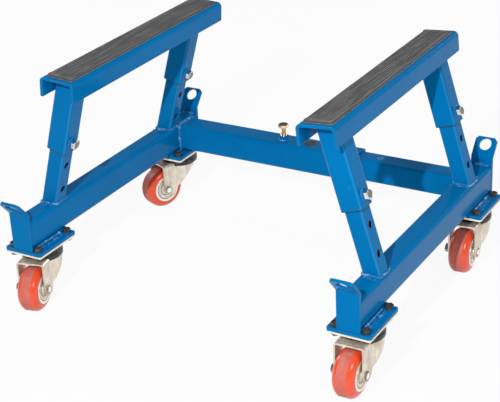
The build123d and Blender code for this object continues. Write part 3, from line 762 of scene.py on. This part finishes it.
class DOLLY_OT_lock_bolts(bpy.types.Operator):
    """Threaded hex bolts of the width and height locks"""
    bl_idname = "dolly.lock_bolts"
    bl_label = "Build lock bolts"

    def execute(self, context):
        locks = context.scene.dolly_locks
        casters = context.scene.dolly_casters
        gold = plated("yellow_zinc", locks.gold, locks.gold_stain, 1.0, 0.14)
        dull = plated("dull_zinc", locks.dull, locks.dull_stain, 0.9, 0.24)
        silver = plated("bright_zinc", locks.silver, locks.silver_stain, 1.0, 0.12)
        for body in ("width_lock", *(f"{side}_{end}_lock" for side in SIDES for end in ENDS)):
            joint, node = f"{body}_turn", f"{body}_bolt"
            seat, axis = place_and_axis(JOINTS[joint])
            bm = bmesh.new()
            self.head(bm, locks)
            self.shank(bm, locks, reach_below(node, seat, axis))
            turn = axis.to_track_quat("Z", "Y").to_matrix().to_4x4()
            bmesh.ops.transform(bm, matrix=Matrix.Translation(seat) @ turn, verts=bm.verts)
            shank, crown = gold, dull
            if body != "width_lock":
                shank, crown = silver, bolt_head(joint, locks.button, locks.top, casters.rim)
            piece = new_piece(f"{body}_bolt_threaded", bm, shank, body, radians(28))
            piece.data.materials.append(crown)
            for polygon in piece.data.polygons:
                if (polygon.center - seat).dot(axis) > locks.crown_from * locks.head:
                    polygon.material_index = 1
            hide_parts(node)
        return {"FINISHED"}

    def head(self, bm, locks):
        """Hex head with a chamfered crown and a washer face, its seat at the origin."""
        count = 48
        flat, crown, top = locks.flats / 2, locks.crown / 2, locks.head
        washer, lip, dish, dent = 0.97 * flat, 0.86 * crown, 0.80 * crown, 0.2 * crown
        step, slope = 0.35 * MM, tan(radians(28))
        angles = [2 * pi * k / count for k in range(count)]
        hexagon = [flat / cos((a + pi / 6) % (pi / 3) - pi / 6) for a in angles]

        def ring(radii, heights):
            return [Vector((r * cos(a), r * sin(a), z)) for a, r, z in zip(angles, radii, heights)]

        def circle(radius, height):
            return ring([radius] * count, [height] * count)

        skin(bm, [
            circle(washer, 0.0),
            circle(washer, step),
            ring(hexagon, [step] * count),
            ring(hexagon, [top - (radius - crown) * slope for radius in hexagon]),
            circle(crown, top),
            circle(lip, top),
            circle(dish, top - step),
            circle(dent, top - step),
        ])

    def shank(self, bm, locks, reach):
        """Helical thread from the seat down to a chamfered tip."""
        columns, rows_per_turn = 28, 6
        depth, chamfer = 0.55 * locks.pitch, 1.2 * MM
        rows = ceil(reach / locks.pitch * rows_per_turn)
        rings = []
        for i in range(rows + 1):
            z = reach * i / rows
            tip = max(0.0, z - reach + chamfer)
            ring = []
            for k in range(columns):
                turn = (z / locks.pitch + k / columns) % 1.0
                cut = depth * abs(2.0 * turn - 1.0)
                angle = 2 * pi * k / columns
                radius = locks.thread / 2 - max(cut, tip)
                ring.append(Vector((radius * cos(angle), radius * sin(angle), -z)))
            rings.append(ring)
        skin(bm, rings)


class DOLLY_OT_pads(bpy.types.Operator):
    """Ribbed rubber pads with a moulded border, and the glue under their edges"""
    bl_idname = "dolly.pads"
    bl_label = "Build pads"

    def execute(self, context):
        pads = context.scene.dolly_pads
        look = context.scene.dolly_look
        brown = glue(look)
        squeezed = 0.1 * MM
        for side in SIDES:
            rubber = ribbed_rubber(look, pads, side)
            top, up = place_and_axis(MOUNTS[f"{side}_pad_top"])
            low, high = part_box(f"{side}_pad")
            across = ALONG.cross(up)
            half = (high.y - low.y) / 2
            foot = top - up * (pads.base + pads.rib)
            body = f"{side}_cradle"
            bm = bmesh.new()
            self.pad(bm, pads, foot, across, up, half)
            piece = new_piece(f"{side}_pad_ribbed", bm, rubber, body, radians(35))
            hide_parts(f"{side}_pad")
            bm = bmesh.new()
            reach = (pads.width / 2 + squeezed, half + squeezed)
            self.squeeze(bm, rounded_loop(foot, across, ALONG, *reach, pads.corner), up)
            new_piece(f"{side}_pad_glue", bm, brown, body)
        return {"FINISHED"}

    def section(self, pads):
        """Profile across a pad: foot, bevelled border, round-topped ribs, border and foot."""
        bevel, border = 1.4 * MM, 2.6 * MM
        shoulder, lip = 0.8, 0.75
        rib = ((0.1, 0.15), (0.24, 0.15), (0.36, 0.8), (0.55, 1.0), (0.8, 0.8), (0.92, 0.15))
        half = pads.width / 2
        inner = half - border
        pitch = 2 * inner / pads.ribs
        edge = [
            (half, 0.0),
            (half, pads.base - bevel + pads.rib),
            (half - bevel, pads.base + pads.rib * shoulder),
            (inner, pads.base + pads.rib * lip),
        ]
        points = [(-x, z) for x, z in edge]
        for index in range(pads.ribs):
            for share, height in rib:
                x = -inner + index * pitch + share * pitch
                points.append((x, pads.base + pads.rib * height))
        return points + edge[::-1]

    def stations(self, pads, half):
        """Places along a pad, each with its share of ribs, of height and of width."""
        plain, ramp, margin, runs = 7.0 * MM, 3.0 * MM, 12 * MM, 60
        lowest, rise = 0.55, 3
        ends = []
        for share in (0.0, 0.04, 0.15, 0.35, 0.65, 1.0):
            inset = pads.corner * (1.0 - sqrt(1.0 - (1.0 - share) ** 2))
            raised = lowest + (1.0 - lowest) * min(1.0, share * rise)
            ends.append((share * pads.corner, 0.0, raised, 1.0 - 2 * inset / pads.width))
        ends += [(plain, 0.0, 1.0, 1.0), (plain + ramp, 1.0, 1.0, 1.0)]
        length = 2 * half - 2 * margin
        front = [(depth - half, *rest) for depth, *rest in ends]
        ribbed = [(-half + margin + run * length / runs, 1.0, 1.0, 1.0) for run in range(1, runs)]
        rear = [(half - depth, *rest) for depth, *rest in reversed(ends)]
        return front + ribbed + rear

    def pad(self, bm, pads, foot, across, up, half):
        """Sheet with ribs inside a smooth border, its corners rounded and its edges bevelled."""
        border, crest, uneven = pads.base + 0.8 * pads.rib, pads.base + pads.rib, 0.12 * MM
        section = self.section(pads)
        rings = []
        for y, ribbed, raised, narrow in self.stations(pads, half):
            ring = []
            for x, z in section:
                height = z
                if z >= 0.5 * pads.base:
                    height = (ribbed * z + (1.0 - ribbed) * min(z + pads.rib, border)) * raised
                spot = foot + across * x * narrow + ALONG * y
                sunk = abs(uneven * noise.noise(spot * 90.0)) if z > 0 else 0.0
                ring.append(spot + up * (min(height, crest) - sunk))
            rings.append(ring)
        skin(bm, rings)

    def squeeze(self, bm, edge, up):
        """Thin uneven line of glue round the pad's foot."""
        sides = 8
        path, _ = resample(edge, 3.0 * MM, True)
        rings = []
        for i, point in enumerate(path):
            tangent = (path[(i + 1) % len(path)] - path[i - 1]).normalized()
            side = tangent.cross(up)
            width = (0.45 + 0.4 * abs(noise.noise(point * 60.0))) * MM
            angles = (2 * pi * k / sides for k in range(sides))
            rings.append([point + (side * cos(a) + up * sin(a)) * width for a in angles])
        skin(bm, rings, closed_path=True)


class DOLLY_OT_welds(bpy.types.Operator):
    """Painted weld beads at the posts, plates, beam ends, sleeves and nuts"""
    bl_idname = "dolly.welds"
    bl_label = "Build welds"

    def execute(self, context):
        welds = context.scene.dolly_welds
        look = context.scene.dolly_look
        coat = weld_coat(look, "blue_powder_coat_weld", 1.0)
        nut_coat = weld_coat(look, "blue_powder_coat_nut_weld", 0.15)
        for side in SIDES:
            beads = {k: bmesh.new() for k in ("post", "plate", "riser", "beam", "sleeve", "nut")}
            for end in ENDS:
                self.post(beads["post"], welds, side, end)
                self.plate(beads["plate"], welds, side, end)
                self.riser(beads["riser"], welds, side, end)
                self.sleeve(beads["sleeve"], welds, side, end)
                self.nut(beads["nut"], welds, f"{side}_{end}_lock_turn", f"{side}_lock_nuts")
            self.beam(beads["beam"], welds, side)
            for kind, bm in beads.items():
                body = f"{side}_cradle" if kind in ("sleeve", "nut") else f"{side}_frame"
                material = nut_coat if kind == "nut" else coat
                new_piece(f"{side}_{kind}_welds", bm, material, body)
        bm = bmesh.new()
        self.nut(bm, welds, "width_lock_turn", "width_lock_nut")
        new_piece("width_nut_weld", bm, coat, "left_frame")
        return {"FINISHED"}

    def nut(self, bm, welds, joint, node):
        """Round the foot of a lock bolt's nut, with spatter beside it."""
        points = 24
        seat, axis = place_and_axis(JOINTS[joint])
        foot = seat - axis * reach_below(node, seat, axis)
        across = axis.orthogonal().normalized()
        along = axis.cross(across)
        angles = (2 * pi * k / points for k in range(points))
        ring = [foot + (across * cos(a) + along * sin(a)) * welds.nut for a in angles]
        weld_bead(bm, ring, 0.6 * welds.radius, welds.ripple, closed=True)
        side_line = [foot - along * 6 * MM, foot + along * 6 * MM]
        spatter(bm, side_line, foot, axis, spread=8 * MM, count=24, size=0.9 * MM)

    def post(self, bm, welds, side, end):
        """Round the foot of a post, with spatter before and behind it."""
        out, corner, beside = 0.5 * MM, 4.5 * MM, 6 * MM
        low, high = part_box(f"{side}_rail")
        lean = Vector(JOINTS[f"{side}_cradle_slide"]["axis"])
        front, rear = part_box(f"{side}_{end}_post")
        half = (rear.y - front.y) / 2
        foot = Vector(((low.x + high.x) / 2, middle(f"{side}_{end}_post").y, high.z))
        loop = rounded_loop(foot, ACROSS, ALONG, half / lean.z + out, half + out, corner)
        weld_bead(bm, loop, 0.75 * welds.radius, welds.ripple, closed=True)
        reach = ACROSS * (half - 3 * MM)
        for y in (-half - beside, half + beside):
            side_line = [foot - reach + ALONG * y, foot + reach + ALONG * y]
            spatter(bm, side_line, UP * high.z, UP, spread=4 * MM, count=44, size=1.3 * MM)

    def plate(self, bm, welds, side, end):
        """Across the top of a rail where it meets its end plate."""
        inward, corner = 0.8 * MM, 6 * MM
        low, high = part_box(f"{side}_rail")
        y = low.y + inward if end == "front" else high.y - inward
        line = [Vector((x, y, high.z)) for x in (low.x + corner, high.x - corner)]
        weld_bead(bm, line, welds.radius, welds.ripple)

    def riser(self, bm, welds, side, end):
        """Along both sides of a riser bar, between the nuts, with spatter beside them."""
        gap, beside = 0.4 * MM, 5.5 * MM
        low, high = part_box(f"{side}_risers")
        y = JOINTS[f"{end}_{side}_swivel"]["pos_m"][1]
        z = (low.z + high.z) / 2
        for x, out in ((low.x, -1.0), (high.x, 1.0)):
            edge = x + out * gap
            line = [Vector((edge, y - welds.riser, z)), Vector((edge, y + welds.riser, z))]
            weld_bead(bm, line, 0.9 * welds.radius, welds.ripple)
            side_line = [point + ACROSS * out * beside for point in line]
            spatter(bm, side_line, UP * low.z, UP, spread=3 * MM, count=44, size=1.25 * MM)

    def beam(self, bm, welds, side):
        """Round the beam's tube where it meets the rail."""
        inward, out, corner = 0.6 * MM, 0.2 * MM, 6 * MM
        node = "outer_cross_tube" if side == "left" else "inner_cross_tube"
        low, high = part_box(node)
        centre = middle(node)
        centre.x = low.x + inward if side == "left" else high.x - inward
        half = (high.z - low.z) / 2 + out
        loop = rounded_loop(centre, ALONG, UP, half, half, corner)
        weld_bead(bm, loop, welds.radius, welds.ripple, closed=True)

    def sleeve(self, bm, welds, side, end):
        """Across a sleeve's front and back, under the channel's web."""
        gap, share = 0.4 * MM, 0.8
        top, web = place_and_axis(MOUNTS[f"{side}_pad_top"])
        lean = Vector(JOINTS[f"{side}_cradle_slide"]["axis"])
        low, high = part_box(f"{side}_{end}_sleeve")
        half = (high.y - low.y) / 2
        spot = top - web * welds.web
        spot.y = middle(f"{side}_{end}_post").y
        reach = ALONG.cross(web) * (half / lean.z * share)
        for y in (-half - gap, half + gap):
            line = [spot - reach + ALONG * y, spot + reach + ALONG * y]
            weld_bead(bm, line, welds.radius, welds.ripple)


class DOLLY_OT_stage(bpy.types.Operator):
    """Floor, light and camera"""
    bl_idname = "dolly.stage"
    bl_label = "Set stage"

    def execute(self, context):
        stage = context.scene.dolly_stage
        self.floor()
        self.world(context, stage)
        for name in ("key", "side", "back", "left"):
            power, size = getattr(stage, f"{name}_power"), getattr(stage, f"{name}_size")
            self.lamp(name, getattr(stage, name), stage.aim, power, size)
        self.camera(context, stage)
        context.scene.view_settings.view_transform = "Standard"
        return {"FINISHED"}

    def floor(self):
        """White floor that takes shadows and looks nearly white to camera and reflections."""
        def build(s):
            seen = s.node("ShaderNodeLightPath", output="Is Camera Ray")
            for ray in ("Is Glossy Ray", "Is Transmission Ray"):
                seen = seen.math("MAXIMUM", s.node("ShaderNodeLightPath", output=ray))
            plain = s.node("ShaderNodeBsdfDiffuse", None, {"Color": (0.8, 0.8, 0.8, 1.0)})
            white = s.node("ShaderNodeEmission", None, {"Color": (1.0, 1.0, 1.0, 1.0), "Strength": 1.0})
            return {0: seen * 0.92, 1: plain, 2: white}

        bm = bmesh.new()
        bmesh.ops.create_grid(bm, x_segments=1, y_segments=1, size=9.0)
        mesh = bpy.data.meshes.new("floor")
        bm.to_mesh(mesh)
        bm.free()
        mesh.materials.append(finish("white_floor", build, "ShaderNodeMixShader"))
        floor = add_object("floor", mesh)

    def world(self, context, stage):
        """Even light from all round, white to the camera."""
        world = bpy.data.worlds.new("studio")
        context.scene.world = world
        world.use_nodes = True
        s = Shader(world.node_tree)
        camera = s.node("ShaderNodeLightPath", output="Is Camera Ray")
        strength = stage.fill + camera * (1.0 - stage.fill)
        light = s.node("ShaderNodeBackground", None, {"Color": (1.0, 1.0, 1.0, 1.0), "Strength": strength})
        s.node("ShaderNodeOutputWorld", None, {"Surface": light})

    def lamp(self, name, place, aim, power, size):
        """Round area lamp that faces a point."""
        data = bpy.data.lights.new(name, "AREA")
        data.shape = "DISK"
        data.size = size
        data.energy = power
        lamp = add_object(name, data)
        lamp.location = place
        facing = Vector(aim) - Vector(place)
        lamp.rotation_euler = facing.to_track_quat("-Z", "Y").to_euler()

    def camera(self, context, stage):
        """Camera of the photo."""
        data = bpy.data.cameras.new("camera")
        data.sensor_fit = "HORIZONTAL"
        data.sensor_width = 36.0
        data.lens = stage.lens
        data.clip_end = 50.0
        az, el = stage.azimuth, stage.elevation
        back = Vector((sin(az) * cos(el), -cos(az) * cos(el), sin(el)))
        right = Vector((cos(az), sin(az), 0.0))
        up = back.cross(right)
        tilted = right * cos(stage.roll) + up * sin(stage.roll)
        turn = Matrix((tilted, back.cross(tilted), back)).transposed()
        camera = add_object("camera", data)
        camera.matrix_world = Matrix.Translation(stage.eye) @ turn.to_4x4()
        context.scene.camera = camera


class DOLLY_PT_panel(bpy.types.Panel):
    """Buttons of the dolly's pieces"""
    bl_idname = "DOLLY_PT_panel"
    bl_label = "Dolly"
    bl_space_type = "VIEW_3D"
    bl_region_type = "UI"
    bl_category = "Dolly"

    def draw(self, context):
        for operator in OPERATORS:
            self.layout.operator(operator.bl_idname)


SETTINGS = {
    "dolly_look": DollyLook,
    "dolly_casters": DollyCasters,
    "dolly_welds": DollyWelds,
    "dolly_locks": DollyLocks,
    "dolly_pads": DollyPads,
    "dolly_stage": DollyStage,
}
OPERATORS = (
    DOLLY_OT_paint,
    DOLLY_OT_casters,
    DOLLY_OT_fasteners,
    DOLLY_OT_lock_bolts,
    DOLLY_OT_pads,
    DOLLY_OT_welds,
    DOLLY_OT_stage,
)
CLASSES = (*SETTINGS.values(), *OPERATORS, DOLLY_PT_panel)


def register():
    for item in CLASSES:
        bpy.utils.register_class(item)
    for name, group in SETTINGS.items():
        setattr(bpy.types.Scene, name, PointerProperty(type=group))


def unregister():
    for name in SETTINGS:
        delattr(bpy.types.Scene, name)
    for item in reversed(CLASSES):
        bpy.utils.unregister_class(item)


def main():
    register()
    bpy.ops.dolly.paint()
    bpy.ops.dolly.casters()
    bpy.ops.dolly.fasteners()
    bpy.ops.dolly.lock_bolts()
    bpy.ops.dolly.pads()
    bpy.ops.dolly.welds()
    bpy.ops.dolly.stage()


if __name__ == "__main__":
    main()
